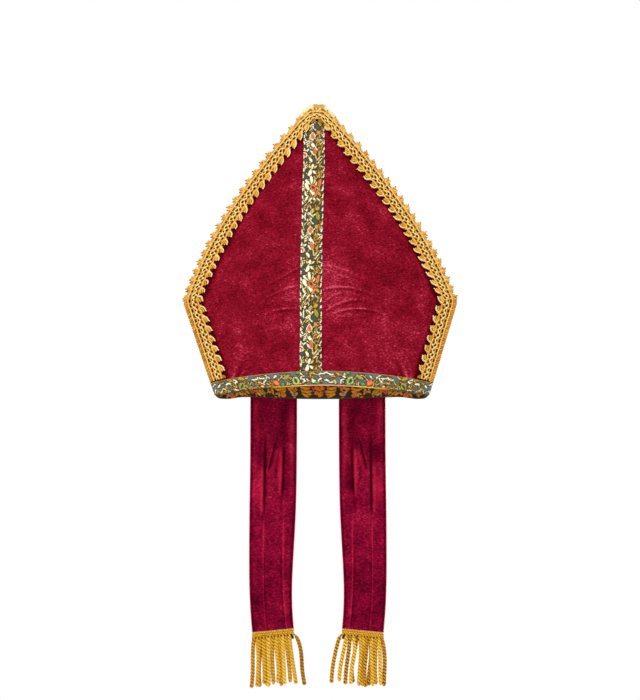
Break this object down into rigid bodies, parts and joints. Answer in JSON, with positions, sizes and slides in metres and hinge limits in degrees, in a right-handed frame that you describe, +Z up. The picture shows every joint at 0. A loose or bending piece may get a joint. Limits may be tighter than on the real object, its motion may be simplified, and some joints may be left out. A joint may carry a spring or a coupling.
{
  "type": "bishop mitre",
  "caption": "Tall pointed ceremonial hat in red velvet with gold lace edging, a floral brocade band and upright ribbon, and fringed lappets that hang from the back of the rim.",
  "frame": {"origin": "middle of the rim opening, level with the lower ends of the side seams, where the hat sits on a head", "axes": "+Z up to the peak, +X to the right seen from the front, so the front with the upright ribbon faces -Y and the lappets hang at +Y"},
  "size_m": [0.3477, 0.1086, 0.7375],
  "materials": {
    "velvet": "crimson polyester velvet, short pile with a soft sheen",
    "lappet_velvet": "crimson polyester velvet, slightly more purple and creased",
    "brocade": "jacquard ribbon, slate ground with gold, cream, green and orange flowers",
    "gold_lace": "guipure lace in bright gold yarn",
    "gold_satin": "pale gold satin",
    "gold_fringe": "twisted bullion fringe in gold yarn"
  },
  "bodies": {
    "root": {"front_panel": "velvet", "back_panel": "velvet", "peak_gusset": "gold_satin", "front_ribbon": "brocade", "rim_band": "brocade", "front_lace": "gold_lace", "back_lace": "gold_lace", "lappet_left": "lappet_velvet", "lappet_right": "lappet_velvet", "fringe_left": "gold_fringe", "fringe_right": "gold_fringe"}
  },
  "joints": []
}
